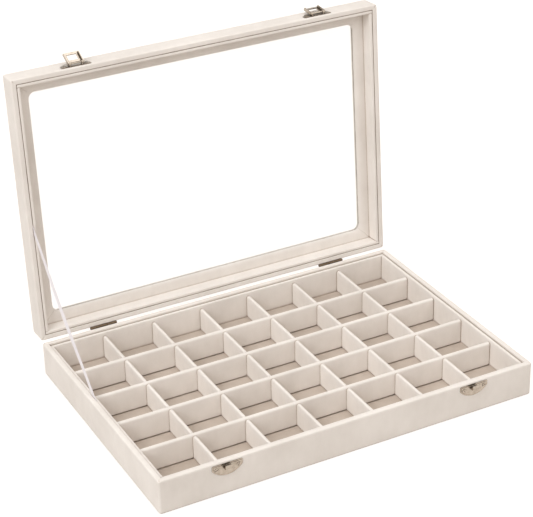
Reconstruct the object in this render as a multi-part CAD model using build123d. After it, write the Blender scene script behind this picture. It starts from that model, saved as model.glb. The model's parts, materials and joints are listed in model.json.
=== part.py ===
from build123d import *
import math
import os

# A velvet-covered jewelry tray with a glass lid on two hinges, in millimetres.
# Origin: centre of the underside. X runs along the front edge, Y towards the hinges, Z up.
# The lid is built closed over the tray and then turned back to the pose in which it stands open.

# Outside sizes
tray_length = 350.0
tray_depth = 240.0
base_height = 31.0
lid_height = 20.0

# Wall layers, from outside to inside
velvet = 0.8
board = 3.0
seam = 0.4
liner = 2.8
corner_radius = 2.2
edge_radius = 1.5
liner_edge_radius = 0.9
liner_drop = 1.9
turn_in_depth = 16.0
turn_under_width = 12.0
underside_margin = 0.4

# Floor and dividers
bottom_board = 2.5
floor_pad = 1.8
pad_clearance = 0.15
columns = 7
rows = 5
row_divider = 4.0
column_divider = 3.0
divider_drop = 4.2
column_drop = 0.6
divider_clearance = 0.15
row_edge_radius = 1.7
column_edge_radius = 1.2
lap_clearance = 0.15

# Lid
lid_gap = 0.6
lid_liner_drop = 0.2
top_frame = 2.2
glass = 2.0
glass_clearance = 0.5
bezel = 2.0
bezel_edge_radius = 0.8
window_margin = 17.5
window_radius = 6.0
lid_turn_in_depth = 9.0
miter_clearance = 0.05

# Hinges
hinge_inset = 58.8
hinge_length = 24.6
hinge_leaf_height = 10.5
hinge_leaf = 0.8
hinge_leaf_corner = 1.2
hinge_recess = 0.5
hinge_recess_clearance = 0.05
hinge_barrel_radius = 1.2
hinge_pin_radius = 0.6
hinge_pin_clearance = 0.05
hinge_pin_head_radius = 1.0
hinge_pin_head = 0.4
hinge_end_gap = 0.2
hinge_leaf_clearance = 0.2
hinge_screw_spacing = 17.0
hinge_screw_drop = 7.0
open_angle = 94.0

# Latches
latch_inset = 59.5
plate_width = 27.0
plate_height = 11.0
plate_end_height = 4.5
plate_thickness = 0.8
plate_flange = 0.45
plate_flange_width = 1.1
plate_field_edge = 0.2
plate_corner_radius = 1.2
plate_screw_spacing = 19.6
plate_screw_inset = 4.0
strike_drop = 1.9
lid_plate_rise = 1.8
hook_width = 7.4
hook_height = 3.8
hook_reach = 4.0
hook_thickness = 0.8
hasp_axis_rise = 1.5
hasp_plate_gap = 0.3
hasp_eye_radius = 1.5
hasp_pin_radius = 0.6
hasp_pin_clearance = 0.05
hasp_pin_head_radius = 1.0
hasp_pin_head = 0.4
hasp_side_gap = 0.15
hasp_width = 14.0
hasp_length = 13.2
hasp_metal = 0.8
hasp_flange_corner = 0.9
hasp_web_start = 1.9
hasp_tip_radius = 1.2
hasp_window_start = 4.4
hasp_window_width = 8.6
hasp_window_length = 6.3
ear_thickness = 1.2
ear_radius = 1.3
ear_root_half = 0.9
latch_swing_left = 150.0
latch_swing_right = 172.0

# Screws
screw_head_radius = 1.7
screw_head = 0.7
screw_dome = 0.25
screw_shank_radius = 0.75
screw_length = 3.6
screw_hole_clearance = 0.04
screw_slot_width = 0.45
screw_slot_depth = 0.3
screw_slot_turns = (0, 55, 100, 160)

# Ribbon stay
ribbon_reach = 104.5
ribbon_width = 6.0
ribbon_thickness = 0.25
ribbon_tuck = 7.0

# Places that follow from the sizes above
half_length = tray_length / 2
half_depth = tray_depth / 2
to_board = velvet
to_turn_in = to_board + board
to_seam = to_turn_in + velvet
to_liner = to_seam + seam
to_inside = to_liner + liner
board_bottom = velvet
floor_bottom = board_bottom + bottom_board
floor_top = floor_bottom + floor_pad
liner_top = base_height - liner_drop
divider_top = base_height - divider_drop
lid_rim = base_height + lid_gap
lid_top = lid_rim + lid_height
top_frame_top = lid_top - velvet
glass_top = top_frame_top - top_frame
glass_bottom = glass_top - glass
bezel_bottom = glass_bottom - bezel
lid_liner_bottom = lid_rim + lid_liner_drop
hinge_leaf_seat = half_depth - hinge_recess
hinge_leaf_face = hinge_leaf_seat + hinge_leaf
hinge_y = hinge_leaf_seat + hinge_barrel_radius
hinge_z = base_height + lid_gap / 2
hinge_axis = Axis((0, hinge_y, hinge_z), (1, 0, 0))
strike_top = base_height - strike_drop
lid_plate_bottom = lid_rim + lid_plate_rise
plate_face = -half_depth - plate_thickness
hasp_y = plate_face - hasp_plate_gap - hasp_eye_radius
hasp_z = lid_plate_bottom + hasp_axis_rise
hinge_places = (("left", hinge_inset - half_length), ("right", half_length - hinge_inset))
latch_places = (("left", latch_inset - half_length), ("right", half_length - latch_inset))
latch_swings = {"left": latch_swing_left, "right": latch_swing_right}


# Heights closer than this are taken as the same height when edges are picked
same = 1e-3


def block(x0, x1, y0, y1, z0, z1):
    """A box between two corners."""
    size = (x1 - x0, y1 - y0, z1 - z0)
    middle = ((x0 + x1) / 2, (y0 + y1) / 2, (z0 + z1) / 2)
    return Pos(*middle) * Box(*size)


def inset_block(inset, z0, z1, radius=0.0):
    """A box that follows the tray's outline, moved in by an inset, with rounded upright edges."""
    x = half_length - inset
    y = half_depth - inset
    body = block(-x, x, -y, y, z0, z1)
    if radius > 0:
        body = fillet(body.edges().filter_by(Axis.Z), radius)
    return body


def rounded_shell(inset, z0, z1, upright_radius, soft_z, soft_radius):
    """An outline box with rounded upright edges and rounded edges at the heights in soft_z."""
    body = inset_block(inset, z0, z1, upright_radius)
    for height in soft_z:
        rim = [edge for edge in body.edges() if abs(edge.center().Z - height) < same]
        body = fillet(rim, soft_radius)
    return body


def window_block(grow, z0, z1, radius):
    """The window's outline, moved out by an amount, as a solid to cut with."""
    x = half_length - window_margin + grow
    y = half_depth - window_margin + grow
    body = block(-x, x, -y, y, z0, z1)
    return fillet(body.edges().filter_by(Axis.Z), radius)


def rod_x(x0, x1, y, z, radius):
    """A round rod along X."""
    middle = Pos((x0 + x1) / 2, y, z) * Rot(0, 90, 0)
    return middle * Cylinder(radius, x1 - x0)


def profile_along_x(points, x0, x1):
    """A solid with one outline in the YZ plane, from x0 to x1."""
    outline = Polyline(*[(y, z) for y, z in points], close=True)
    face = Plane.YZ * make_face(outline)
    return Pos(x0, 0, 0) * extrude(face, x1 - x0)


def split_ring(ring, z0, z1):
    """Four walls of a ring: front and back run the full length, left and right stand between them."""
    reach = tray_length
    inner = half_depth - to_turn_in
    return {
        "front": ring & block(-reach, reach, -reach, -inner, z0, z1),
        "back": ring & block(-reach, reach, inner, reach, z0, z1),
        "left": ring & block(-reach, 0, -inner, inner, z0, z1),
        "right": ring & block(0, reach, -inner, inner, z0, z1),
    }


def half_moon(x, z, up):
    """A half-moon plate on the front face: straight edge at z, a thin flange around a raised field."""
    half = plate_width / 2
    sign = 1 if up else -1
    start = (half, sign * plate_end_height)
    middle = (0, sign * plate_height)
    end = (-half, sign * plate_end_height)
    outline = Polyline(end, (-half, 0), (half, 0), start) + ThreePointArc(start, middle, end)
    sketch = make_face(outline)
    corners = [v for v in sketch.vertices() if abs(abs(v.X) - half) < same]
    sketch = fillet(corners, plate_corner_radius)
    field = extrude(offset(sketch, -plate_flange_width), plate_thickness)
    raised = [e for e in field.edges() if abs(e.center().Z - plate_thickness) < same]
    solid = extrude(sketch, plate_flange) + fillet(raised, plate_field_edge)
    return Pos(x, -half_depth, z) * Rot(90, 0, 0) * solid


def screw(slot_angle):
    """A countersunk screw along Z: head's flat at z = 0, shank pointing down."""
    slope = Cone(screw_shank_radius, screw_head_radius, screw_head)
    body = Pos(0, 0, -screw_head / 2) * slope
    rim = Cylinder(screw_head_radius, screw_dome)
    body += Pos(0, 0, screw_dome / 2) * rim
    shank = Cylinder(screw_shank_radius, screw_length - screw_head)
    body += Pos(0, 0, -(screw_length + screw_head) / 2) * shank
    slot = Box(3 * screw_head_radius, screw_slot_width, 2 * screw_slot_depth)
    return body - Pos(0, 0, screw_dome) * Rot(0, 0, slot_angle) * slot


def screw_hole():
    """The room that a screw takes in the plate and the board below it, with its clearance."""
    gap = screw_hole_clearance
    slope = Cone(screw_shank_radius + gap, screw_head_radius + gap, screw_head)
    body = Pos(0, 0, -screw_head / 2) * slope
    body += Pos(0, 0, screw_head / 2) * Cylinder(screw_head_radius + gap, screw_head)
    shank = Cylinder(screw_shank_radius + gap, screw_length + gap)
    return body + Pos(0, 0, -(screw_length + gap) / 2) * shank


def screw_places(x, spacing, y_face, z, facing):
    """Two screw positions side by side on a face that looks along facing, -1 front or 1 back."""
    turn = Rot(90, 0, 0) if facing < 0 else Rot(-90, 0, 0)
    return [Pos(x + side * spacing / 2, y_face, z) * turn for side in (-1, 1)]


# Screw positions, kept together because the plates, leaves and walls are all drilled from them
strike_screw_places = []
latch_screw_places = []
for side, x in latch_places:
    strike_z = strike_top - plate_screw_inset
    latch_z = lid_plate_bottom + plate_screw_inset
    strike_screw_places += screw_places(x, plate_screw_spacing, plate_face, strike_z, -1)
    latch_screw_places += screw_places(x, plate_screw_spacing, plate_face, latch_z, -1)
base_hinge_screw_places = []
lid_hinge_screw_places = []
for side, x in hinge_places:
    low_z = hinge_z - hinge_screw_drop
    high_z = hinge_z + hinge_screw_drop
    base_hinge_screw_places += screw_places(x, hinge_screw_spacing, hinge_leaf_face, low_z, 1)
    lid_hinge_screw_places += screw_places(x, hinge_screw_spacing, hinge_leaf_face, high_z, 1)


def screw_group(places, first_angle):
    """The screws at some places, each with its slot at its own angle."""
    turned = zip(places, screw_slot_turns)
    return Compound(children=[place * screw(first_angle + turn) for place, turn in turned])


def drilled(shape, places):
    """A shape with room for the screws at some places."""
    for place in places:
        shape = shape - place * screw_hole()
    return shape


def hinge_pocket(x, z0, z1):
    """The place where a hinge leaf presses the velvet in, with its clearance."""
    half = hinge_length / 2 + hinge_recess_clearance
    y0 = hinge_leaf_seat - hinge_recess_clearance
    return block(x - half, x + half, y0, half_depth + hinge_leaf, z0, z1)


def with_hinge_pockets(skin, upper):
    """The back velvet of the base or the lid, pressed in under the leaves."""
    reach = hinge_leaf_height + hinge_recess_clearance
    for side, x in hinge_places:
        if upper:
            skin = skin - hinge_pocket(x, hinge_z, hinge_z + reach)
        else:
            skin = skin - hinge_pocket(x, hinge_z - reach, hinge_z)
    return skin


parts = {}


def base_wrap():
    """The velvet over the base: outside, over the rim, down inside, and turned under the bottom."""
    outer = rounded_shell(0, 0, base_height, corner_radius, (base_height, 0), edge_radius)
    core = rounded_shell(
        velvet, velvet, base_height - velvet, corner_radius - velvet,
        (base_height - velvet,), edge_radius - velvet,
    )
    core -= inset_block(to_turn_in, 0, base_height)
    core += inset_block(velvet, velvet, floor_bottom, corner_radius - velvet)
    room = inset_block(to_seam, velvet, base_height + 1)
    room += inset_block(to_turn_in, velvet, base_height - turn_in_depth)
    under = inset_block(turn_under_width, -1, velvet + 1)
    skin = with_hinge_pockets(outer - core - room - under, False)
    return drilled(skin, strike_screw_places + base_hinge_screw_places)


def base_boards():
    """The four walls of the base, under the velvet."""
    ring = rounded_shell(
        velvet, board_bottom, base_height - velvet, corner_radius - velvet,
        (base_height - velvet,), edge_radius - velvet,
    )
    ring -= inset_block(to_turn_in, 0, base_height)
    walls = split_ring(ring, 0, base_height)
    walls["front"] = drilled(walls["front"], strike_screw_places)
    walls["back"] = drilled(walls["back"], base_hinge_screw_places)
    return walls


def liners(z0, z1, soft_z):
    """Four velvet-covered strips behind the seam, with a soft edge at the open side."""
    outer_x = half_length - to_liner
    outer_y = half_depth - to_liner
    inner_x = half_length - to_inside
    inner_y = half_depth - to_inside
    strips = {
        "front": block(-outer_x, outer_x, -outer_y, -inner_y, z0, z1),
        "back": block(-outer_x, outer_x, inner_y, outer_y, z0, z1),
        "left": block(-outer_x, -inner_x, -inner_y, inner_y, z0, z1),
        "right": block(inner_x, outer_x, -inner_y, inner_y, z0, z1),
    }
    for name, strip in strips.items():
        along = Axis.X if name in ("front", "back") else Axis.Y
        edges = [e for e in strip.edges().filter_by(along) if abs(e.center().Z - soft_z) < same]
        strips[name] = fillet(edges, liner_edge_radius)
    return strips


def dividers():
    """Long and short dividers, half-lapped: long ones are slotted from below, short ones from above."""
    reach_x = half_length - to_inside - divider_clearance
    reach_y = half_depth - to_inside - divider_clearance
    pitch_x = 2 * (half_length - to_inside) / columns
    pitch_y = 2 * (half_depth - to_inside) / rows
    column_top = divider_top - column_drop
    lap_z = (floor_top + column_top) / 2
    half_row = row_divider / 2
    half_column = column_divider / 2
    column_x = [(i - columns / 2) * pitch_x for i in range(1, columns)]
    row_y = [(i - rows / 2) * pitch_y for i in range(1, rows)]
    found = {}
    for number, y in enumerate(row_y, 1):
        wall = block(-reach_x, reach_x, y - half_row, y + half_row, floor_top, divider_top)
        top = [e for e in wall.edges().filter_by(Axis.X) if e.center().Z > lap_z]
        wall = fillet(top, row_edge_radius)
        slot = half_column + lap_clearance
        for x in column_x:
            wall -= block(x - slot, x + slot, y - row_divider, y + row_divider, 0, lap_z + lap_clearance)
        found["divider_row_%d" % number] = wall
    for number, x in enumerate(column_x, 1):
        wall = block(x - half_column, x + half_column, -reach_y, reach_y, floor_top, column_top)
        top = [e for e in wall.edges().filter_by(Axis.Y) if e.center().Z > lap_z]
        wall = fillet(top, column_edge_radius)
        slot = half_row + lap_clearance
        for y in row_y:
            wall -= block(x - column_divider, x + column_divider, y - slot, y + slot, lap_z, base_height)
        found["divider_column_%d" % number] = wall
    return found


def strike_plate(x):
    """The plate on the base: a half-moon with a hook that the hasp drops over."""
    plate = drilled(half_moon(x, strike_top, False), strike_screw_places)
    hook_top = hasp_z - hasp_window_start - (hasp_window_length - hook_height) / 2
    hook_bottom = hook_top - hook_height
    shelf = hook_bottom + hook_thickness
    outer = plate_face - hook_reach
    root = plate_face + plate_thickness / 2
    profile = [
        (root, hook_bottom), (outer + hook_thickness, hook_bottom), (outer, shelf),
        (outer, hook_top), (outer + hook_thickness, hook_top), (outer + hook_thickness, shelf),
        (root, shelf),
    ]
    hook = profile_along_x(profile, x - hook_width / 2, x + hook_width / 2)
    return plate + hook


def lid_envelope():
    """The lid's outer form."""
    return rounded_shell(0, lid_rim, lid_top, corner_radius, (lid_top, lid_rim), edge_radius)


def lid_core():
    """The space that the lid's boards and top frame fill, under the velvet."""
    return rounded_shell(
        velvet, lid_rim + velvet, lid_top - velvet, corner_radius - velvet,
        (lid_top - velvet, lid_rim + velvet), edge_radius - velvet,
    )


def lid_wrap():
    """The velvet over the lid: sides, top frame, window edge and rim."""
    ring = lid_core() - inset_block(to_turn_in, lid_rim, glass_top)
    ring -= window_block(velvet, glass_top - 1, lid_top, window_radius + velvet)
    room = inset_block(to_seam, lid_rim - 1, glass_top)
    room += inset_block(to_turn_in, lid_rim + lid_turn_in_depth, glass_top)
    window = window_block(0, glass_top - 1, lid_top + 1, window_radius)
    skin = with_hinge_pockets(lid_envelope() - ring - room - window, True)
    return drilled(skin, latch_screw_places + lid_hinge_screw_places)


def lid_boards():
    """The four sides of the lid, under the velvet."""
    ring = lid_core() & inset_block(0, lid_rim, glass_top, 0)
    ring -= inset_block(to_turn_in, lid_rim, lid_top)
    walls = split_ring(ring, lid_rim, lid_top)
    walls["front"] = drilled(walls["front"], latch_screw_places)
    walls["back"] = drilled(walls["back"], lid_hinge_screw_places)
    return walls


def lid_top_frame():
    """The flat board around the window."""
    ring = lid_core() & inset_block(0, glass_top, lid_top, 0)
    return ring - window_block(velvet, lid_rim, lid_top + 1, window_radius + velvet)


def bezels():
    """Four soft strips around the window, mitred where they meet, which hold the glass."""
    ring = inset_block(to_seam, bezel_bottom, glass_bottom)
    ring -= window_block(0, bezel_bottom - 1, glass_bottom + 1, window_radius)
    inner = [
        e for e in ring.edges()
        if abs(e.center().Z - bezel_bottom) < same
        and abs(e.center().X) < half_length - window_margin + 1
        and abs(e.center().Y) < half_depth - window_margin + 1
    ]
    ring = fillet(inner, bezel_edge_radius)
    x = half_length
    y = half_depth
    ends = x - y
    gap = miter_clearance
    wedges = {
        "front": [(gap - x, -y), (x - gap, -y), (ends - gap, 0), (gap - ends, 0)],
        "back": [(gap - x, y), (x - gap, y), (ends - gap, 0), (gap - ends, 0)],
        "left": [(-x, gap - y), (-x, y - gap), (-ends - gap, 0)],
        "right": [(x, gap - y), (x, y - gap), (ends + gap, 0)],
    }
    strips = {}
    for name, points in wedges.items():
        wedge = extrude(make_face(Polyline(*points, close=True)), lid_height)
        strips[name] = ring & Pos(0, 0, lid_rim) * wedge
    return strips


def hinge_leaf_part(x, upper):
    """One leaf of a hinge with its knuckles: outer knuckles on the base, the middle one on the lid."""
    third = hinge_length / 3
    half = hinge_length / 2
    low_y = hinge_leaf_seat
    far_z = hinge_z + hinge_leaf_height if upper else hinge_z - hinge_leaf_height
    plate = block(x - half, x + half, low_y, hinge_leaf_face, min(far_z, hinge_z), max(far_z, hinge_z))
    if upper:
        own = [(x - third / 2 + hinge_end_gap / 2, x + third / 2 - hinge_end_gap / 2)]
        other = [(x - half, x - third / 2), (x + third / 2, x + half)]
    else:
        own = [(x - half, x - third / 2 - hinge_end_gap / 2), (x + third / 2 + hinge_end_gap / 2, x + half)]
        other = [(x - third / 2, x + third / 2)]
    far = [e for e in plate.edges().filter_by(Axis.Y) if abs(e.center().Z - far_z) < same]
    leaf = fillet(far, hinge_leaf_corner)
    clear = hinge_barrel_radius + hinge_leaf_clearance
    for start, end in other:
        gap = hinge_end_gap / 2
        leaf -= rod_x(start - gap, end + gap, hinge_y, hinge_z, clear)
    for start, end in own:
        leaf += rod_x(start, end, hinge_y, hinge_z, hinge_barrel_radius)
    bore = hinge_pin_radius + hinge_pin_clearance
    leaf -= rod_x(x - half - 1, x + half + 1, hinge_y, hinge_z, bore)
    return leaf


def hinge_pin(x):
    """The pin, with a flat head at each end."""
    half = hinge_length / 2
    outer = half + hinge_pin_head
    pin = rod_x(x - outer, x + outer, hinge_y, hinge_z, hinge_pin_radius)
    for side in (-1, 1):
        start = x + side * half
        end = x + side * outer
        pin += rod_x(min(start, end), max(start, end), hinge_y, hinge_z, hinge_pin_head_radius)
    return pin


def latch_plate(x):
    """The plate on the lid: a half-moon with two ears that carry the hasp's pin."""
    plate = drilled(half_moon(x, lid_plate_bottom, True), latch_screw_places)
    outer = hasp_width / 2 - hasp_metal - hasp_side_gap
    inner = outer - ear_thickness
    root = plate_face + plate_thickness / 2
    for x0, x1 in ((x - outer, x - inner), (x + inner, x + outer)):
        plate += rod_x(x0, x1, hasp_y, hasp_z, ear_radius)
        plate += block(x0, x1, hasp_y, root, hasp_z - ear_root_half, hasp_z + ear_root_half)
    bore = hasp_pin_radius + hasp_pin_clearance
    return plate - rod_x(x - hasp_width, x + hasp_width, hasp_y, hasp_z, bore)


def hasp(x):
    """The swinging loop, latched: a web with a window and two sides bent towards the tray, with eyes."""
    half = hasp_width / 2
    outer_face = hasp_y - hasp_eye_radius
    inner_face = outer_face + hasp_metal
    side_face = hasp_y + hasp_eye_radius
    tip_z = hasp_z - hasp_length
    web = block(x - half, x + half, outer_face, inner_face, tip_z, hasp_z - hasp_web_start)
    tip = [e for e in web.edges().filter_by(Axis.Y) if abs(e.center().Z - tip_z) < same]
    body = fillet(tip, hasp_tip_radius)
    side_tip = tip_z + hasp_tip_radius
    profile = [
        (outer_face, side_tip), (side_face - hasp_flange_corner, side_tip),
        (side_face, side_tip + hasp_flange_corner), (side_face, hasp_z), (outer_face, hasp_z),
    ]
    for x0, x1 in ((x - half, x - half + hasp_metal), (x + half - hasp_metal, x + half)):
        body += profile_along_x(profile, x0, x1)
        body += rod_x(x0, x1, hasp_y, hasp_z, hasp_eye_radius)
    window_top = hasp_z - hasp_window_start
    window_half = hasp_window_width / 2
    body -= block(
        x - window_half, x + window_half, outer_face - 1, inner_face + 1,
        window_top - hasp_window_length, window_top,
    )
    bore = hasp_pin_radius + hasp_pin_clearance
    return body - rod_x(x - hasp_width, x + hasp_width, hasp_y, hasp_z, bore)


def latch_pin(x):
    """The hasp's pin through its sides and the two ears, with a flat head at each end."""
    half = hasp_width / 2 + hasp_side_gap
    pin = rod_x(x - half, x + half, hasp_y, hasp_z, hasp_pin_radius)
    for x0, x1 in ((x - half - hasp_pin_head, x - half), (x + half, x + half + hasp_pin_head)):
        pin += rod_x(x0, x1, hasp_y, hasp_z, hasp_pin_head_radius)
    return pin


def ribbon():
    """The ribbon stay at rest: a flat band in the plane of the left seam, tucked into both seams."""
    x = -half_length + to_seam + seam / 2
    lean = math.radians(open_angle)
    low = Vector(0, hinge_y - ribbon_reach, hinge_z)
    high = Vector(0, hinge_y - ribbon_reach * math.cos(lean), hinge_z + ribbon_reach * math.sin(lean))
    run = (high - low).normalized()
    start = low - run * ribbon_tuck
    end = high + run * ribbon_tuck
    side = Vector(0, -run.Z, run.Y) * (ribbon_width / 2)
    corners = [start + side, end + side, end - side, start - side]
    half = ribbon_thickness / 2
    return profile_along_x([(c.Y, c.Z) for c in corners], x - half, x + half)


def opened(shape):
    """A lid piece, turned back from closed to open."""
    return shape.rotate(hinge_axis, -open_angle)


def folded(shape, swing):
    """A hasp, turned back from latched towards its plate."""
    return shape.rotate(Axis((0, hasp_y, hasp_z), (1, 0, 0)), -swing)


parts["base_wrap"] = base_wrap()
for side, wall in base_boards().items():
    parts["base_board_" + side] = wall
parts["base_bottom_board"] = inset_block(to_turn_in, board_bottom, floor_bottom)
parts["base_underside_sheet"] = inset_block(turn_under_width + underside_margin, 0, velvet)
parts["base_floor_pad"] = inset_block(to_inside + pad_clearance, floor_bottom, floor_top)
for side, strip in liners(floor_bottom, liner_top, liner_top).items():
    parts["base_liner_" + side] = strip
parts.update(dividers())

for side, x in latch_places:
    parts["strike_plate_" + side] = strike_plate(x)
    parts["latch_plate_" + side] = opened(latch_plate(x))
    parts["latch_pin_" + side] = opened(latch_pin(x))
    parts["hasp_" + side] = opened(folded(hasp(x), latch_swings[side]))
for side, x in hinge_places:
    parts["hinge_base_leaf_" + side] = drilled(hinge_leaf_part(x, False), base_hinge_screw_places)
    parts["hinge_lid_leaf_" + side] = opened(drilled(hinge_leaf_part(x, True), lid_hinge_screw_places))
    parts["hinge_pin_" + side] = hinge_pin(x)
parts["strike_screws"] = screw_group(strike_screw_places, 20)
parts["hinge_base_screws"] = screw_group(base_hinge_screw_places, 75)
parts["hinge_lid_screws"] = opened(screw_group(lid_hinge_screw_places, 10))
parts["latch_screws"] = opened(screw_group(latch_screw_places, 40))

parts["lid_wrap"] = opened(lid_wrap())
for side, wall in lid_boards().items():
    parts["lid_board_" + side] = opened(wall)
parts["lid_top_frame"] = opened(lid_top_frame())
parts["glass_pane"] = opened(inset_block(to_turn_in + glass_clearance, glass_bottom, glass_top))
for side, strip in bezels().items():
    parts["lid_bezel_" + side] = opened(strip)
for side, strip in liners(lid_liner_bottom, bezel_bottom, lid_liner_bottom).items():
    parts["lid_liner_" + side] = opened(strip)
parts["ribbon_stay"] = ribbon()

os.makedirs("parts", exist_ok=True)
for name, shape in parts.items():
    export_step(shape, "parts/" + name + ".step")

print("nodes", len(parts))
print("hinge axis", hinge_y, hinge_z)
print("hasp axis when closed", hasp_y, hasp_z)
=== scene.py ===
import json
import math

import bpy
from mathutils import Matrix, Vector, noise


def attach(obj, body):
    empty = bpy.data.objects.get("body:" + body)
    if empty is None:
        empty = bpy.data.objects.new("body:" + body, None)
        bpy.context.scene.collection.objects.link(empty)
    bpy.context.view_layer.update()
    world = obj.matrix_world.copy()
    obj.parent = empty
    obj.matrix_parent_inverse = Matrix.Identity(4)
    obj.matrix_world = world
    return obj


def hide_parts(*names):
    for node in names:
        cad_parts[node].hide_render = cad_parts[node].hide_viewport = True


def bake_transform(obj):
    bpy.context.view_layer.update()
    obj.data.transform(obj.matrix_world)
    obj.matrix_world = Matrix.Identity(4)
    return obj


# The velvet-covered jewelry tray, dressed. Sizes are in millimetres and become metres in make_mesh().

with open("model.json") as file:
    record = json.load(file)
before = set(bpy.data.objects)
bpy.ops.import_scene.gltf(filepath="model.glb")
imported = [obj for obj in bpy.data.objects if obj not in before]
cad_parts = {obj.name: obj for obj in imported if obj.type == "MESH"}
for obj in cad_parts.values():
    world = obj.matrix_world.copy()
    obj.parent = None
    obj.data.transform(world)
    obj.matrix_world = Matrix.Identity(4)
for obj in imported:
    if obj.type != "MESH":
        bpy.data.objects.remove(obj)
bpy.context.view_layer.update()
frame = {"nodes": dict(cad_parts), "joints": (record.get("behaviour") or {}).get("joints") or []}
MM = 0.001

# Tray and lid sizes
half_length = 175.0
half_depth = 120.0
base_height = 31.0
lid_rim = 31.6
lid_height = 20.0
velvet = 0.8
board = 3.0
seam = 0.4
liner = 2.8
to_turn_in = velvet + board
to_seam = to_turn_in + velvet
to_liner = to_seam + seam
to_inside = to_liner + liner
floor_bottom = 3.3
floor_top = 5.1
liner_top = 29.1
divider_top = 26.8
column_top = 26.2
row_divider = 4.0
column_divider = 3.0
columns = 7
rows = 5
divider_clearance = 0.15
lap_clearance = 0.15
lid_liner_drop = 0.2
bezel_depth = 13.0
glass_depth = 15.0
window_margin = 17.5
window_radius = 6.0
corner_radius = 2.2
turn_under = 12.0
underside_gap = 0.4
base_turn_in = 16.0
lid_turn_in = 9.0
lid_joint = next(j for j in frame["joints"] if j["name"] == "lid_hinge")
hinge_place = Vector(lid_joint["pos_m"]) / MM
open_angle = math.radians(lid_joint["range_deg"][1])

# Roundings of the cloth over the edges
rim_rounding = 1.3
foot_rounding = 1.4
top_rounding = 1.7
seam_rounding = 0.6
window_rounding = 1.5
liner_rounding = 0.85
row_rounding = 1.75
column_rounding = 1.4
column_end_rounding = 1.7
tight_corner = 0.3

# Faces that meet at more than these angles, in degrees, show an edge
cloth_angle = 38
fold_angle = 50
metal_angle = 30

# The camera, fitted to the corners of the tray in the photograph
image_width = 533
focal_pixels = 1757.1
camera_azimuth = math.radians(-27.465)
camera_elevation = math.radians(28.19)
camera_roll = math.radians(-1.311)
camera_distance = 1604.3
camera_aim = Vector((43.3, 110.9, 60.0))


# Mesh helpers

side_step = 4.0
corner_steps = 6
least_radius = 0.12


def make_mesh(name, points, faces, sharp=cloth_angle):
    """A mesh object from points in millimetres, shaded smooth up to a sharp angle."""
    mesh = bpy.data.meshes.new(name)
    mesh.from_pydata([p * MM for p in points], [], faces)
    mesh.validate()
    mesh.update()
    mesh.shade_smooth()
    mesh.set_sharp_from_angle(angle=math.radians(sharp))
    piece = bpy.data.objects.new(name, mesh)
    bpy.context.scene.collection.objects.link(piece)
    return piece


def loft(rings, closed, capped):
    """Points and faces of a skin through rings of points. closed joins the last ring to the first."""
    points = [p for ring in rings for p in ring]
    count = len(rings[0])
    faces = []
    last = len(rings) if closed else len(rings) - 1
    for i in range(last):
        here = i * count
        there = ((i + 1) % len(rings)) * count
        for j in range(count):
            k = (j + 1) % count
            faces.append((here + j, here + k, there + k, there + j))
    if capped:
        faces.append(tuple(reversed(range(count))))
        faces.append(tuple(range((len(rings) - 1) * count, len(rings) * count)))
    return points, faces


def ripple(p, size, seed):
    """A smooth random value from -1 to 1 at a place, with features of one size."""
    return noise.noise(p / size + Vector((seed * 7.3, seed * 3.1, seed * 5.7)))


def arc(centre, radius, start, end, steps):
    """Points of an arc as pairs, angles in degrees."""
    found = []
    for i in range(steps + 1):
        a = math.radians(start + (end - start) * i / steps)
        found.append((centre[0] + radius * math.cos(a), centre[1] + radius * math.sin(a)))
    return found


def spaced(start, end, step):
    """Evenly spaced values from start to end, about one step apart."""
    count = max(1, round(abs(end - start) / step))
    return [start + (end - start) * i / count for i in range(count + 1)]


def near_ends(length):
    """Distances along a straight side, closer together near its ends."""
    near = [0.0, 0.25, 0.55, 0.95, 1.5, 2.3, 3.5, 5.2, 7.6]
    middle_start = 11.0
    middle = spaced(middle_start, length - middle_start, side_step)
    return near + middle + [length - d for d in reversed(near)]


def opened(p):
    """A point of the closed lid, turned back with the lid to its open rest."""
    turn = Matrix.Rotation(-open_angle, 3, "X")
    return hinge_place + turn @ (p - hinge_place)


# Rings that follow the tray's rounded outline

side_steps_x = len(near_ends(2 * half_length))
side_steps_y = len(near_ends(2 * half_depth))


def side_points(length, count):
    """The same number of places on a side of any length, closer near the ends."""
    base = near_ends(length)
    while len(base) > count:
        base.pop(len(base) // 2)
    while len(base) < count:
        middle = len(base) // 2
        base.insert(middle, (base[middle - 1] + base[middle]) / 2)
    return base


def outline_ring(inset, z, radius):
    """One closed ring at an inset from the outside, with its corners rounded by a radius."""
    x = half_length - inset
    y = half_depth - inset
    r = max(radius, least_radius)
    along_x = side_points(2 * (x - r), side_steps_x)[:-1]
    along_y = side_points(2 * (y - r), side_steps_y)[:-1]

    def corner(side_x, side_y, start):
        centre = (side_x * (x - r), side_y * (y - r))
        return [Vector((a, b, z)) for a, b in arc(centre, r, start, start + 90, corner_steps)[:-1]]

    ring = [Vector((-x + r + d, -y, z)) for d in along_x]
    ring += corner(1, -1, -90)
    ring += [Vector((x, -y + r + d, z)) for d in along_y]
    ring += corner(1, 1, 0)
    ring += [Vector((x - r - d, y, z)) for d in along_x]
    ring += corner(-1, 1, 90)
    ring += [Vector((-x, y - r - d, z)) for d in along_y]
    ring += corner(-1, -1, 180)
    return ring


def corner_distance(p, inset_from):
    """How far a point lies across the nearest corner's diagonal, and along it from an inset corner."""
    dx = half_length - abs(p.x)
    dy = half_depth - abs(p.y)
    across = (dx - dy) / math.sqrt(2)
    along = (dx + dy) / 2 - inset_from
    return across, along


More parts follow.
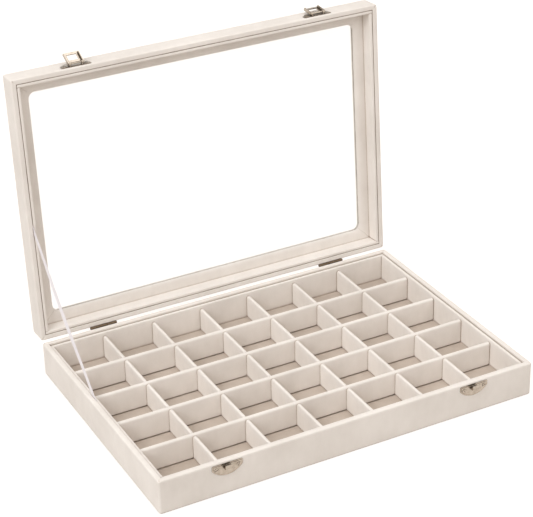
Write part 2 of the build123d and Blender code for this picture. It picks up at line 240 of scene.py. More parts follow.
def pleat(p, rim_z, sign):
    """The fold where the cloth is tucked at a corner of the rim: a crease and a small dimple."""
    reach = 1.2
    crease_inset = 2.6
    crease_depth = 0.32
    crease_width = 0.32
    crease_length = 2.2
    dimple_inset = 1.7
    dimple_depth = 0.75
    dimple_width = 0.5
    if abs(p.z - rim_z) > reach:
        return 0.0
    across, along = corner_distance(p, crease_inset)
    narrow = math.exp(-((across / crease_width) ** 2))
    crease = crease_depth * narrow * math.exp(-((along / crease_length) ** 4))
    across, along = corner_distance(p, dimple_inset)
    dimple = dimple_depth * math.exp(-((across / dimple_width) ** 2 + (along / dimple_width) ** 2))
    return sign * (crease + dimple)


def soft_skin(name, profile, rim_z, rim_sign, seed, place):
    """A velvet skin around the whole outline, from a closed profile of (inset, z, corner radius)."""
    long_wave = 0.10
    short_wave = 0.05
    lid_hollow = 0.05
    rim_wave = 0.05
    rim_reach = 1.6
    fold_depth = 0.30
    fold_place = 2.75
    fold_width = 0.32
    fold_reach = 0.5
    rings = [outline_ring(inset, z, radius) for inset, z, radius in profile]
    points, faces = loft(rings, True, False)
    moved = []
    for p in points:
        wave = long_wave * ripple(p, 34.0, seed) + short_wave * ripple(p, 9.0, seed + 1)
        out = Vector((0, 0, 0))
        dx = half_length - abs(p.x)
        dy = half_depth - abs(p.y)
        if dx < dy:
            out.x = math.copysign(1, p.x)
        else:
            out.y = math.copysign(1, p.y)
        above_rim = min(1, max(0, p.z - rim_z) / lid_height)
        hollow = lid_hollow * math.sin(math.pi * above_rim)
        fold = 0.0
        if dx < fold_reach:
            fold = fold_depth * math.exp(-(((dy - fold_place) / fold_width) ** 2))
        q = p + out * (wave - hollow - fold)
        if abs(p.z - rim_z) < rim_reach:
            q.z += rim_wave * ripple(p, 12.0, seed + 2)
        q.z += pleat(p, rim_z, rim_sign)
        moved.append(place(q))
    return make_mesh(name, moved, faces)


def still(p):
    """A point of the base stays where it is."""
    return p


# Strips: liners and dividers

wall_step = 5.0
round_steps = 4


def strip_section(width, low, high, radius):
    """A closed section of a velvet-covered strip: (across, height), rounded at the top."""
    half = width / 2
    wall = spaced(low, high - radius, wall_step)
    section = [(-half, z) for z in wall]
    section += arc((-half + radius, high - radius), radius, 180, 90, round_steps)[1:]
    section += arc((half - radius, high - radius), radius, 90, 0, round_steps)
    section += [(half, z) for z in spaced(high - radius, low, wall_step)[1:]]
    return section


def soft_strip(name, start, end, section, up, seed, place, notch=None):
    """A straight strip from start to end. notch cuts and dips its section at some distances."""
    stops = [0.0, 0.12, 0.35, 0.8]
    first_station = 2.0
    tuck_depth = 0.30
    tuck_reach = 0.5
    least_across = 0.6
    dip_reach = 4.0
    sway_size = 0.10
    lift_size = 0.12
    lift_reach = 1.5
    run = (end - start).normalized()
    across = up.cross(run)
    length = (end - start).length
    low = min(z for a, z in section)
    high = max(z for a, z in section)
    middle = spaced(first_station, length - first_station, side_step)
    places = stops + middle + [length - d for d in reversed(stops)]
    if notch:
        places += notch["places"]
    places = sorted(set(round(d, 4) for d in places if 0 <= d <= length))
    rings = []
    for d in places:
        end_distance = min(d, length - d)
        tuck = tuck_depth * (1 - min(1, end_distance / tuck_reach)) ** 2
        cut = notch["cut"](d) if notch else None
        dip = notch["dip"](d) if notch else 0.0
        ring = []
        for a, z in section:
            height = z - dip * max(0.0, 1 - (high - z) / dip_reach)
            if cut:
                height = min(max(z, cut[0]), cut[1])
            centre = start + run * d + across * a + up * height
            inside = max(0.0, 1 - (high - z) / (high - low))
            sway = sway_size * ripple(centre, 30.0, seed) * inside
            lift = 0.0
            if z > high - lift_reach and not cut:
                lift = lift_size * ripple(centre, 16.0, seed + 3)
            shrink = 1 - tuck / max(abs(a), least_across)
            moved = start + run * d + across * (a * shrink + sway)
            ring.append(place(moved + up * (height + lift - tuck * inside)))
        rings.append(ring)
    points, faces = loft(rings, False, True)
    return make_mesh(name, points, faces)


def liner_strips(prefix, seat, top, height_of, place, body, seed):
    """Four liner strips inside the rim. height_of turns a height in the strip into one in the tray."""
    middle = to_liner + liner / 2
    x = half_length - to_liner
    y = half_depth - to_inside
    runs = {
        "front": (Vector((-x, -half_depth + middle, 0)), Vector((x, -half_depth + middle, 0))),
        "back": (Vector((x, half_depth - middle, 0)), Vector((-x, half_depth - middle, 0))),
        "left": (Vector((-half_length + middle, y, 0)), Vector((-half_length + middle, -y, 0))),
        "right": (Vector((half_length - middle, -y, 0)), Vector((half_length - middle, y, 0))),
    }
    section = strip_section(liner, seat, top, liner_rounding)
    for number, (side, (start, end)) in enumerate(runs.items()):
        node = prefix + side
        piece = soft_strip(
            node + "_velvet", start, end, section, Vector((0, 0, 1)), seed + number,
            lambda p: place(Vector((p.x, p.y, height_of(p.z)))),
        )
        dress(piece, body, velvet_cloth, node)


def dress(piece, body, finish, node):
    """Gives a piece its finish and its body, and hides the CAD node that it stands for."""
    piece.data.materials.clear()
    piece.data.materials.append(finish.material)
    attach(piece, body)
    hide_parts(node)


# Finishes: a small language for node trees

class Wire:
    """A shader socket that reads like a number in an expression."""

    def __init__(self, tree, socket):
        self.tree = tree
        self.socket = socket

    def math(self, operation, other=None, swap=False):
        values = {0: self} if other is None else {0: self, 1: other}
        if swap:
            values = {0: other, 1: self}
        return self.tree.add("ShaderNodeMath", {"operation": operation}, values)["Value"]

    def __add__(self, other):
        return self.math("ADD", other)

    __radd__ = __add__

    def __mul__(self, other):
        return self.math("MULTIPLY", other)

    __rmul__ = __mul__

    def __sub__(self, other):
        return self.math("SUBTRACT", other)

    def __rsub__(self, other):
        return self.math("SUBTRACT", other, swap=True)

    def __truediv__(self, other):
        return self.math("DIVIDE", other)

    def clamp(self):
        return self.math("MINIMUM", 1.0).math("MAXIMUM", 0.0)

    def ramp(self, low, high):
        """This value stretched so that low becomes 0 and high becomes 1."""
        return ((self - low) / (high - low)).clamp()


class Tree:
    """A tree of shader nodes, with one method that makes every node."""

    def __init__(self, tree, output_kind):
        self.tree = tree
        self.tree.nodes.clear()
        self.output = self.tree.nodes.new(output_kind)

    def add(self, kind, settings=None, values=None):
        """A node: its settings first, then the values or wires of its sockets."""
        node = self.tree.nodes.new(kind)
        for key, value in (settings or {}).items():
            setattr(node, key, value)
        for key, value in (values or {}).items():
            if isinstance(value, Wire):
                self.tree.links.new(value.socket, node.inputs[key])
            else:
                node.inputs[key].default_value = value
        return {s.name: Wire(self, s) for s in node.outputs if s.enabled}

    def show(self, shader):
        """Joins a shader to the output."""
        self.tree.links.new(shader.socket, self.output.inputs["Surface"])

    def seen_directly(self):
        """1 for rays from the camera, also by way of metal or glass, and 0 for all other rays."""
        ray = self.add("ShaderNodeLightPath")
        seen = ray["Is Camera Ray"].math("MAXIMUM", ray["Is Glossy Ray"])
        return seen.math("MAXIMUM", ray["Is Transmission Ray"])


class Finish(Tree):
    """A material for one record slot."""

    def __init__(self, name, slot):
        self.slot = slot
        self.material = bpy.data.materials.new(name)
        self.material.use_nodes = True
        super().__init__(self.material.node_tree, "ShaderNodeOutputMaterial")

    def place(self):
        """Where a point lies on its own piece, in metres."""
        return self.add("ShaderNodeTexCoord")["Object"]

    def cloud(self, where, size_mm, detail=2.0, rough=0.5, stretch=None):
        """Noise with features of one size in millimetres."""
        if stretch:
            where = self.add("ShaderNodeMapping", None, {"Vector": where, "Scale": stretch})["Vector"]
        values = {"Vector": where, "Scale": 1000.0 / size_mm, "Detail": detail, "Roughness": rough}
        found = self.add("ShaderNodeTexNoise", {"noise_dimensions": "3D"}, values)
        return found["Fac"] if "Fac" in found else found["Factor"]

    def mix(self, amount, first, second):
        """Two colours mixed by an amount."""
        values = {0: amount, 6: first, 7: second}
        return self.add("ShaderNodeMix", {"data_type": "RGBA"}, values)["Result"]

    def bump(self, height, depth_mm, strength):
        """Raised and sunken places in a surface, from a height of 0 to 1."""
        values = {"Height": height, "Distance": depth_mm * MM, "Strength": strength}
        return self.add("ShaderNodeBump", None, values)["Normal"]

    def openness(self, reach_mm, samples):
        """Nearly 0 in creases and beside other pieces, and 1 where nothing is within reach."""
        values = {"Distance": reach_mm * MM}
        return self.add("ShaderNodeAmbientOcclusion", {"samples": samples}, values)["AO"]

    def surface(self, values):
        """The one shader of the material."""
        self.show(self.add("ShaderNodeBsdfPrincipled", None, values)["BSDF"])
        return self


def linear(red, green, blue):
    """A colour given as it looks on screen, 0 to 255, in the renderer's own units."""
    def one(v):
        v = v / 255
        return v / 12.92 if v <= 0.04045 else ((v + 0.055) / 1.055) ** 2.4
    return (one(red), one(green), one(blue), 1.0)


def velvet_finish(name, slot, light, dark, pile_depth=0.10):
    """Short-pile velvet: a fine pile, soft brushed patches, a little sheen, and painted shade that
    browns it in creases and beside other pieces.
    """
    f = Finish(name, slot)
    where = f.place()
    pile = f.cloud(where, size_mm=0.45, detail=3.0, rough=0.6)
    clump = f.cloud(where, size_mm=1.6, rough=0.55)
    patch = f.cloud(where, size_mm=42.0, detail=3.0, rough=0.55)
    streak = f.cloud(where, size_mm=7.0, detail=3.0, rough=0.6, stretch=(1.0, 1.0, 0.45))
    brushed = patch.ramp(0.36, 0.66) * 0.50 + streak.ramp(0.3, 0.7) * 0.26
    shade = (brushed + clump * 0.16 + pile * 0.08).clamp()
    # Painted shade: the colour browns where other surfaces are close, in creases, seams and at the feet
    # of walls.
    creases = f.openness(reach_mm=2.2, samples=12).ramp(0.15, 0.80)
    return f.surface({
        "Base Color": f.mix(creases, painted_crease_shade, f.mix(shade, dark, light)),
        "Roughness": 0.92,
        "Specular IOR Level": 0.22,
        "Sheen Weight": 0.22,
        "Sheen Roughness": 0.45,
        "Sheen Tint": (1.0, 0.98, 0.96, 1.0),
        "Normal": f.bump(pile * 0.6 + clump * 0.4, pile_depth, 0.55),
    })


def satin_finish():
    """White satin ribbon: a fine lengthways weave with a soft gloss."""
    f = Finish("ribbon_satin", "ribbon")
    where = f.place()
    thread = f.cloud(where, size_mm=0.22, rough=0.6, stretch=(1.0, 0.25, 0.25))
    cloudy = f.cloud(where, size_mm=9.0)
    colour = f.mix(cloudy * 0.6 + thread * 0.4, linear(226, 222, 228), linear(246, 243, 246))
    return f.surface({
        "Base Color": colour,
        "Roughness": 0.34 + thread * 0.12,
        "Sheen Weight": 0.12,
        "Specular IOR Level": 0.5,
        "Normal": f.bump(thread, 0.03, 0.5),
    })


def nickel_finish(name, light, dark, dullness):
    """Nickel plate with fine polishing marks and slightly duller patches; the patches also mix light and
    dark colours as painted reflections, and painted shade darkens hollows and places beside other
    pieces.
    """
    f = Finish(name, "nickel")
    where = f.place()
    dull_film_and_reflection = f.cloud(where, size_mm=3.2, detail=3.0)
    scratch = f.cloud(where, size_mm=0.35, rough=0.6, stretch=(0.15, 1.0, 1.0))
    recess_shade = f.openness(reach_mm=2.0, samples=8).ramp(0.40, 0.98)
    return f.surface({
        # Painted shade in hollows and beside other pieces, over light and dark colours mixed in patches
        # as painted reflections.
        "Base Color": f.mix(recess_shade, linear(74, 62, 50), f.mix(dull_film_and_reflection, dark, light)),
        "Metallic": 1.0,
        "Roughness": dullness + dull_film_and_reflection * 0.10 + scratch * 0.05,
        "Normal": f.bump(scratch + dull_film_and_reflection * 0.4, 0.012, 0.35),
    })


def glass_finish():
    """Clear flat glass that hardly shows except for its glints, and a faint painted glare from its
    near-white colour at a low alpha.
    """
    f = Finish("clear_glass", "glass")
    smear_and_glare = f.cloud(f.place(), size_mm=60.0)
    return f.surface({
        # The near-white colour at a low alpha lays a faint painted glare over the glass.
        "Base Color": f.mix(smear_and_glare, linear(250, 254, 250), linear(246, 252, 248)),
        "Roughness": 0.02 + smear_and_glare * 0.03,
        "Specular IOR Level": 0.5,
        "Alpha": 0.07 + smear_and_glare * 0.04,
    })


def fibreboard_finish():
    """Raw fibreboard, seen only in the gaps."""
    f = Finish("raw_fibreboard", "fibreboard")
    fibre = f.cloud(f.place(), size_mm=1.2, detail=4.0, rough=0.65)
    return f.surface({
        "Base Color": f.mix(fibre, linear(168, 138, 104), linear(198, 170, 136)),
        "Roughness": 0.85,
        "Normal": f.bump(fibre, 0.08, 0.5),
    })


# Brown for the painted shade in the velvet's creases.
painted_crease_shade = linear(176, 158, 142)
velvet_cloth = velvet_finish("ivory_velvet", "velvet", linear(246, 241, 236), linear(231, 225, 219))
# The floor pad is the velvet in darker colours, which paint the shade that falls on the compartment
# floors.
pad_cloth_painted_shade = velvet_finish(
    "pad_velvet", "pad_velvet", linear(204, 192, 181), linear(184, 171, 159), pile_depth=0.12,
)
under_cloth = velvet_finish(
    "underside_flock", "underside", linear(228, 222, 213), linear(210, 202, 192), pile_depth=0.06,
)
satin = satin_finish()
# Colours darker and browner than clean nickel, mixed in patches, paint dark reflections; the hinges'
# still darker colours also paint the shade along the hinge line.
nickel = nickel_finish("nickel_plate", linear(200, 189, 176), linear(142, 129, 114), dullness=0.16)
dull_nickel_painted_shade = nickel_finish("dull_nickel_painted_shade", linear(128, 110, 92), linear(92, 77, 62), dullness=0.34)
clear_glass = glass_finish()
fibreboard = fibreboard_finish()


# Base

side_row = 3.5
rim_fall = 0.02
board_corner = 1.4


def rounded(centre, radius, start, end, steps):
    """Profile points round an outer edge, where the vertical corners get tighter as the inset grows."""
    points = arc(centre, radius, start, end, steps)
    return [(inset, z, max(corner_radius - inset, tight_corner)) for inset, z in points]


def tight(points):
    """Profile points of the parts of a skin that meet in tight corners."""
    return [(inset, z, tight_corner) for inset, z in points]


def base_wrap():
    """The base's skin, from the underside up, over the rim and down behind the seam, and back inside."""
    top = base_height
    foot = foot_rounding
    rim = rim_rounding
    fold = seam_rounding
    inner = to_turn_in
    deep = top - base_turn_in
    profile = tight([(turn_under, 0.0), (8.0, 0.0), (4.0, 0.0)])
    profile += rounded((foot, foot), foot, 270, 180, 5)
    profile += [(0.0, z, corner_radius) for z in spaced(foot, top - top_rounding, side_row)[1:-1]]
    profile += rounded((rim, top - rim), rim, 180, 90, 7)
    profile += tight([(2.3, top), (3.0, top - rim_fall)])
    profile += tight(arc((to_seam - fold, top - fold), fold, 90, 0, 5))
    profile += tight([(to_seam, top - 3.0), (to_seam, top - 9.0), (to_seam, deep)])
    profile += tight([(inner, deep), (inner, top - 1.0), (inner - 0.2, top - velvet)])
    profile += [(1.5, top - velvet, 0.7), (velvet, top - 1.5, board_corner)]
    profile += [(velvet, foot, board_corner), (foot, velvet, 0.8)]
    profile += tight([(turn_under, velvet)])
    piece = soft_skin("base_wrap_velvet", profile, top, -1, 1, still)
    dress(piece, "base", velvet_cloth, "base_wrap")


def divider_lines(half_span, count):
    """The middle lines of the dividers across a span."""
    pitch = 2 * half_span / count
    return [(i - count / 2) * pitch for i in range(1, count)]


inside_x = half_length - to_inside
inside_y = half_depth - to_inside
column_lines = divider_lines(inside_x, columns)
row_lines = divider_lines(inside_y, rows)
lap_z = (floor_top + column_top) / 2


def notch_for(lines, half_span, other_width, short):
    """The half-lap notches along a divider: a short one is slotted from above, a long one from below."""
    half = other_width / 2 + lap_clearance
    beside_slot = (-0.02, 0.02, 0.2, 0.5, 0.9, 1.3, column_end_rounding)
    centres = [line + half_span for line in lines]
    places = []
    for c in centres:
        for d in beside_slot:
            places += [c - half - d, c + half + d]

    def cut(d):
        """The lowest and highest place left at a distance, or None away from the slots."""
        if all(abs(d - c) >= half for c in centres):
            return None
        return (floor_top, lap_z) if short else (lap_z + lap_clearance, base_height)

    def dip(d):
        """How far the rounded end of a short divider falls beside the one that crosses it."""
        if not short:
            return 0.0
        radius = column_end_rounding
        from_slot = min(abs(d - c) for c in centres) - half
        from_end = max(0.0, min(from_slot, d, 2 * half_span - d))
        into = max(0.0, radius - from_end)
        return radius - math.sqrt(max(0.0, radius * radius - into * into))
    return {"places": places, "cut": cut, "dip": dip}


def dividers():
    """The long and short dividers, half-lapped into each other."""
    reach_x = inside_x - divider_clearance
    reach_y = inside_y - divider_clearance
    rows_run = [("row", Vector((-reach_x, y, 0)), Vector((reach_x, y, 0))) for y in row_lines]
    columns_run = [("column", Vector((x, -reach_y, 0)), Vector((x, reach_y, 0))) for x in column_lines]
    row_section = strip_section(row_divider, floor_top, divider_top, row_rounding)
    column_section = strip_section(column_divider, floor_top, column_top, column_rounding)
    row_notch = notch_for(column_lines, reach_x, column_divider, short=False)
    column_notch = notch_for(row_lines, reach_y, row_divider, short=True)
    kinds = ((rows_run, row_section, row_notch, 20), (columns_run, column_section, column_notch, 30))
    for runs, section, notch, seed in kinds:
        for number, (kind, start, end) in enumerate(runs, 1):
            node = "divider_%s_%d" % (kind, number)
            piece = soft_strip(
                node + "_velvet", start, end, section, Vector((0, 0, 1)), seed + number, still, notch,
            )
            dress(piece, "base", velvet_cloth, node)


def grid_values(half_span, lines):
    """Grid lines over the floor, closer together beside each divider and at the edges."""
    beside_divider = [1.3, 1.8, 2.3, 2.9, 3.6, 4.6, 6.2, 8.5, 12.0]
    inside_edge = (0.4, 1.0, 2.0, 4.0, 8.0)
    widest_step = 5.0
    least_step = 0.3
    values = {-half_span, half_span}
    for line in lines:
        values.add(line)
        values.update(line + s * d for d in beside_divider for s in (-1, 1))
    for edge in (-half_span, half_span):
        values.update(edge - math.copysign(d, edge) for d in inside_edge)
    values.update(spaced(-half_span, half_span, widest_step))
    ordered = sorted(v for v in values if abs(v) <= half_span)
    kept = [ordered[0]]
    for v in ordered[1:]:
        if v - kept[-1] > least_step:
            kept.append(v)
    kept[-1] = half_span
    return kept


def pad_height(x, y, half_x, half_y):
    """The pad's top, nearly flat in each compartment and rolled down beside the dividers."""
    roll_depth = 1.15
    roll_start = 1.7
    roll_width = 1.1
    side_depth = 0.30
    side_start = 1.5
    side_width = 1.4
    edge_offset = 1.6
    seat = 0.05
    wave = 0.10
    wave_fade = 1.2
    row_gap = min([abs(y - line) for line in row_lines] + [abs(half_y - abs(y)) + edge_offset])
    column_gap = min([abs(x - line) for line in column_lines] + [abs(half_x - abs(x)) + edge_offset])
    roll = roll_depth * math.exp(-((max(0.0, row_gap - roll_start) / roll_width) ** 2))
    side = side_depth * math.exp(-((max(0.0, column_gap - side_start) / side_width) ** 2))
    soft = wave * ripple(Vector((x, y, 0)), 18.0, 50)
    return floor_top - seat - max(roll, side) + soft * (1 - roll / wave_fade)


def floor_pad():
    """The soft floor: a grid of heights over a flat underside, joined round its edge."""
    half_x = inside_x - divider_clearance
    half_y = inside_y - divider_clearance
    xs = grid_values(half_x, column_lines)
    ys = grid_values(half_y, row_lines)
    points = [Vector((x, y, pad_height(x, y, half_x, half_y))) for y in ys for x in xs]
    points += [Vector((x, y, floor_bottom)) for y in ys for x in xs]
    wide = len(xs)
    under = wide * len(ys)
    faces = []
    for j in range(len(ys) - 1):
        for i in range(wide - 1):
            a = j * wide + i
            faces.append((a, a + 1, a + wide + 1, a + wide))
            b = a + under
            faces.append((b, b + wide, b + wide + 1, b + 1))
    edge = list(range(wide))
    edge += [j * wide + wide - 1 for j in range(1, len(ys))]
    edge += [(len(ys) - 1) * wide + i for i in range(wide - 2, -1, -1)]
    edge += [j * wide for j in range(len(ys) - 2, 0, -1)]
    for a, b in zip(edge, edge[1:] + edge[:1]):
        faces.append((a, a + under, b + under, b))
    piece = make_mesh("base_floor_pad_velvet", points, faces)
    dress(piece, "base", pad_cloth_painted_shade, "base_floor_pad")


def underside_sheet():
    """The sheet glued over the bottom, with a slightly puckered edge."""
    edge_profile = ((30.0, 0.0), (6.0, 0.0), (1.0, 0.0), (0.25, 0.08), (0.0, 0.3), (0.0, velvet))
    pucker_depth = 0.25
    pucker_reach = 2.0
    sheet_corner = 1.0
    rings = []
    for inset, z in edge_profile:
        ring = []
        for p in outline_ring(turn_under + underside_gap + inset, z, sheet_corner):
            pucker = max(0.0, pucker_depth * ripple(p, 5.0, 60)) if inset < pucker_reach else 0.0
            ring.append(Vector((p.x - math.copysign(pucker, p.x), p.y - math.copysign(pucker, p.y), z)))
        rings.append(ring)
    points, faces = loft(rings, False, True)
    piece = make_mesh("base_underside_flock", points, faces)
    dress(piece, "base", under_cloth, "base_underside_sheet")


# Lid, built closed and then opened

def lid_z(depth):
    """A height in the closed tray from a depth in the lid, measured from its rim."""
    return lid_rim + depth


def lid_wrap():
    """The lid's skin, from behind the seam over the rim, the sides and the frame into the window."""
    top = lid_z(lid_height)
    rim = lid_rim
    fold = seam_rounding
    outer = rim_rounding
    corner = top_rounding
    edge = window_margin
    roll = window_rounding
    inner = to_turn_in
    deep = rim + lid_turn_in
    profile = tight([(to_seam, deep), (to_seam, rim + 4.0)])
    profile += tight(arc((to_seam - fold, rim + fold), fold, 0, -90, 5))
    profile += tight([(3.0, rim + rim_fall), (2.3, rim)])
    profile += rounded((outer, rim + outer), outer, 270, 180, 7)
    profile += [(0.0, z, corner_radius) for z in spaced(rim + corner, top - corner, side_row)[1:-1]]
    profile += rounded((corner, top - corner), corner, 180, 90, 7)
    profile += [(3.5, top, 0.4), (6.0, top, 1.0), (9.0, top, 2.0), (12.0, top, 3.4), (14.5, top, 4.6)]
    profile += [(i, z, window_radius) for i, z in arc((edge - roll, top - roll), roll, 90, 0, 6)]
    profile += [(edge, top - 3.0, window_radius), (edge - velvet, top - 3.0, window_radius)]
    profile += [(edge - velvet, top - 1.6, window_radius), (edge - 1.6, top - velvet, 5.0)]
    profile += [(1.5, top - velvet, 0.7), (velvet, top - 1.5, board_corner)]
    profile += [(velvet, rim + 1.5, board_corner), (1.5, rim + velvet, 0.7)]
    profile += tight([(inner - 0.2, rim + velvet), (inner, rim + 1.0), (inner, deep)])
    piece = soft_skin("lid_wrap_velvet", profile, rim, 1, 5, opened)
    dress(piece, "lid", velvet_cloth, "lid_wrap")


def bezel_profile():
    """The bezel's section as (inset, height): a rolled edge at the window, and a flat back."""
    low = lid_z(bezel_depth)
    high = lid_z(glass_depth)
    edge = window_margin
    outer = to_seam + 0.1
    gap = 0.02
    profile = [(edge + 0.3, high - gap), (edge + 0.8, high - 0.25), (edge + 1.0, high - 0.7)]
    profile += [(edge + 0.8, high - 1.15), (edge + 0.2, high - 1.6)]
    profile += [(edge - 0.9, low - gap), (edge - 2.2, low - 0.28), (edge - 3.8, low - 0.36)]
    profile += [(edge - 5.5, low - 0.30), (edge - 7.5, low - 0.16), (edge - 9.0, low - gap)]
    return profile + [(edge - 9.6, low + gap), (outer, low + gap), (outer, high - gap)]


def bezel_strips():
    """Four soft strips around the window, mitred at the corners, between the liners and the glass."""
    low = lid_z(bezel_depth)
    corner_start = 8.0
    corner_spread = 8.0
    face_depth = 1.2
    face_wave = 0.10
    miter_sink = (0.38, 0.14, 0.03)
    miter_gap = 0.05
    profile = bezel_profile()
    rings = []
    for inset, z in profile:
        spread = max(0.0, min(1.0, (inset - corner_start) / corner_spread))
        rings.append(outline_ring(inset, z, max(window_radius * spread, tight_corner)))
    total = len(rings[0])
    side_x = side_steps_x - 1
    side_y = side_steps_y - 1
    first_corner = side_x + corner_steps // 2
    second_corner = side_x + corner_steps + side_y + corner_steps // 2
    third_corner = second_corner + corner_steps + side_x
    fourth_corner = third_corner + corner_steps + side_y
    stretches = {
        "front": (fourth_corner - total, first_corner),
        "right": (first_corner, second_corner),
        "back": (second_corner, third_corner),
        "left": (third_corner, fourth_corner),
    }
    for number, (side, (begin, end)) in enumerate(stretches.items()):
        stations = []
        for j in range(begin, end + 1):
            at_end = min(j - begin, end - j)
            sink = miter_sink[at_end] if at_end < len(miter_sink) else 0.0
            ring = []
            for (inset, z), outline in zip(profile, rings):
                p = outline[j % total].copy()
                face = max(0.0, 1 - (p.z - low) / face_depth) if inset > to_inside else 0.0
                p.z += sink * face + face_wave * ripple(p, 14.0, 70 + number) * face
                if at_end == 0:
                    inward = outline[(j + (1 if j == begin else -1)) % total]
                    p += (inward - p).normalized() * miter_gap
                ring.append(opened(p))
            stations.append(ring)
        points, faces = loft(stations, False, True)
        node = "lid_bezel_" + side
        piece = make_mesh(node + "_velvet", points, faces, fold_angle)
        dress(piece, "lid", velvet_cloth, node)


# Ribbon stay

ribbon_reach = 104.5
ribbon_width = 5.2
ribbon_thickness = 0.25
ribbon_tuck = 6.5
ribbon_step = 2.2
ribbon_slack = 0.9
ribbon_lean = 0.7
ribbon_cup = 0.25
ribbon_twist = math.radians(9)
ribbon_x = -half_length + to_seam + seam / 2


def ribbon_stay():
    """A satin band from the left seam of the base to that of the lid, a little slack and twisted."""
    low = Vector((ribbon_x, hinge_place.y - ribbon_reach, hinge_place.z))
    high = opened(low)
    run = (high - low).normalized()
    length = (high - low).length
    across = Vector((0, -run.z, run.y))
    side = Vector((1, 0, 0))
    widthways = (-0.5, -0.25, 0, 0.25, 0.5)
    section = [(a, -0.5) for a in widthways] + [(a, 0.5) for a in reversed(widthways)]
    rings = []
    for d in spaced(-ribbon_tuck, length + ribbon_tuck, ribbon_step):
        t = min(1.0, max(0.0, d / length))
        belly = math.sin(math.pi * t)
        centre = low + run * d - side * (ribbon_lean * belly * belly) - across * (ribbon_slack * belly)
        turn = ribbon_twist * belly * math.sin(math.pi * (t * 0.8 + 0.1))
        flat = across * math.cos(turn) + side * math.sin(turn)
        thin = side * math.cos(turn) - across * math.sin(turn)
        ring = []
        for a, b in section:
            cup = ribbon_cup * (1 - (2 * a) ** 2) * belly
            ring.append(centre + flat * (a * ribbon_width) + thin * (b * ribbon_thickness + cup))
        rings.append(ring)
    points, faces = loft(rings, False, True)
    piece = make_mesh("ribbon_stay_satin", points, faces, fold_angle)
    piece.data.materials.append(satin.material)
    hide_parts("ribbon_stay")
    tuple(high * MM)
    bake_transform(piece)


# Hardware, boards and glass keep their CAD shapes

def dress_nodes():
    """Gives each carried-over piece the finish of what it is made of."""
    for name, node in frame["nodes"].items():
        if "board" in name or name == "lid_top_frame":
            finish = fibreboard
        elif name == "glass_pane":
            finish = clear_glass
        elif name.startswith("hinge"):
            finish = dull_nickel_painted_shade
        elif name.startswith(("latch", "strike", "hasp")):
            finish = nickel
        else:
            continue
        node.data.materials.clear()
        node.data.materials.append(finish.material)
        node.data.shade_smooth()
        node.data.set_sharp_from_angle(angle=math.radians(metal_angle))


# Studio

def white_floor():
    """A floor that looks white, and yet takes the object's shadow and sends a weak light back up."""
    f = Finish("white_floor", "stage")
    glow_level = 0.60
    below_tray = -0.05
    reach = 6000.0
    diffuse = f.add("ShaderNodeBsdfDiffuse", None, {"Color": (0.62, 0.59, 0.56, 1)})["BSDF"]
    strength = f.seen_directly() * glow_level
    glow = f.add("ShaderNodeEmission", None, {"Color": (1, 1, 1, 1), "Strength": strength})["Emission"]
    f.show(f.add("ShaderNodeAddShader", None, {0: diffuse, 1: glow})["Shader"])
    corners = ((-reach, -reach), (reach, -reach), (reach, reach), (-reach, reach))
    floor = make_mesh("floor", [Vector((x, y, below_tray)) for x, y in corners], [(0, 1, 2, 3)])
    floor.data.materials.append(f.material)


def white_surroundings():
    """Surroundings that look white, and light the object with a weaker, warmer fill."""
    world = bpy.data.worlds.new("white_surroundings")
    bpy.context.scene.world = world
    world.use_nodes = True
    w = Tree(world.node_tree, "ShaderNodeOutputWorld")
    warm = {"Color": (1.0, 0.925, 0.855, 1), "Strength": 0.50}
    plain = {"Color": (1, 1, 1, 1), "Strength": 1.0}
    fill = w.add("ShaderNodeBackground", None, warm)["Background"]
    white = w.add("ShaderNodeBackground", None, plain)["Background"]
    w.show(w.add("ShaderNodeMixShader", None, {0: w.seen_directly(), 1: fill, 2: white})["Shader"])


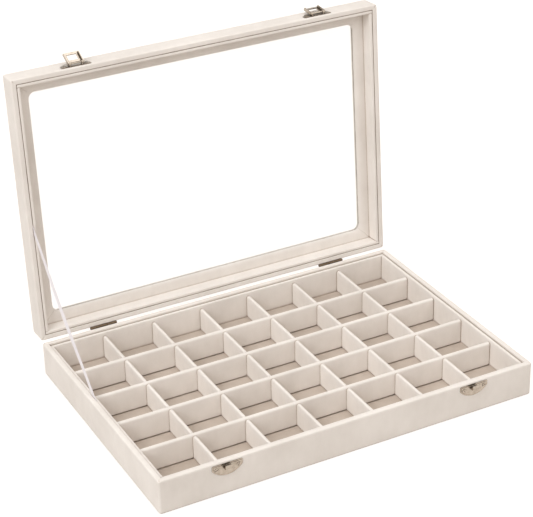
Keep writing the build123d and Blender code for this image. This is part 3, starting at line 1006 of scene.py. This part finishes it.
def lamp(name, direction, colour, distance, size, level, aim=Vector((0.0, 0.05, 0.08))):
    """A square soft lamp, in metres. level is how bright it makes what it shines on straight."""
    light = bpy.data.lights.new(name, "AREA")
    light.shape = "SQUARE"
    light.size = size
    light.energy = level * math.pi * math.pi * distance * distance
    light.color = colour
    holder = bpy.data.objects.new(name, light)
    bpy.context.scene.collection.objects.link(holder)
    toward = Vector(direction).normalized()
    holder.location = aim + toward * distance
    holder.rotation_mode = "QUATERNION"
    holder.rotation_quaternion = toward.to_track_quat("Z", "Y")


def photo_camera():
    """The camera of the photograph."""
    camera = bpy.data.cameras.new("photo_camera")
    camera.sensor_width = 36.0
    camera.lens = focal_pixels / image_width * camera.sensor_width
    camera.clip_start = 0.05
    camera.clip_end = 50.0
    viewer = bpy.data.objects.new("photo_camera", camera)
    bpy.context.scene.collection.objects.link(viewer)
    back = Vector((
        math.sin(camera_azimuth) * math.cos(camera_elevation),
        -math.cos(camera_azimuth) * math.cos(camera_elevation),
        math.sin(camera_elevation),
    ))
    right = Vector((0, 0, 1)).cross(back).normalized()
    up = back.cross(right)
    c = math.cos(camera_roll)
    s = math.sin(camera_roll)
    rotation = Matrix((right * c + up * s, up * c - right * s, back)).transposed()
    stand = (camera_aim + back * camera_distance) * MM
    viewer.matrix_world = Matrix.Translation(stand) @ rotation.to_4x4()
    bpy.context.scene.camera = viewer


def studio():
    """White floor and surroundings, a large soft lamp on the left, one above and a weak one in front."""
    bpy.context.scene.view_settings.view_transform = "Standard"
    white_floor()
    white_surroundings()
    lamp("key_left", (-0.74, -0.34, 0.68), (0.985, 0.995, 1.0), distance=3.6, size=2.1, level=0.53)
    lamp("top_soft", (0.15, 0.10, 1.0), (1.0, 0.995, 0.985), distance=3.0, size=2.2, level=0.25)
    lamp(
        "front_right", (0.45, -0.72, 0.60), (1.0, 0.97, 0.94), distance=1.5, size=0.9, level=0.15,
        aim=Vector((0.08, 0.10, 0.12)),
    )
    photo_camera()


studio()
base_wrap()
underside_sheet()
floor_pad()
liner_strips("base_liner_", floor_bottom, liner_top, lambda z: z, still, "base", seed=10)
dividers()
lid_wrap()
bezel_strips()
liner_strips(
    "lid_liner_", -bezel_depth, -lid_liner_drop, lambda z: lid_rim - z, opened, "lid", seed=40,
)
ribbon_stay()
dress_nodes()
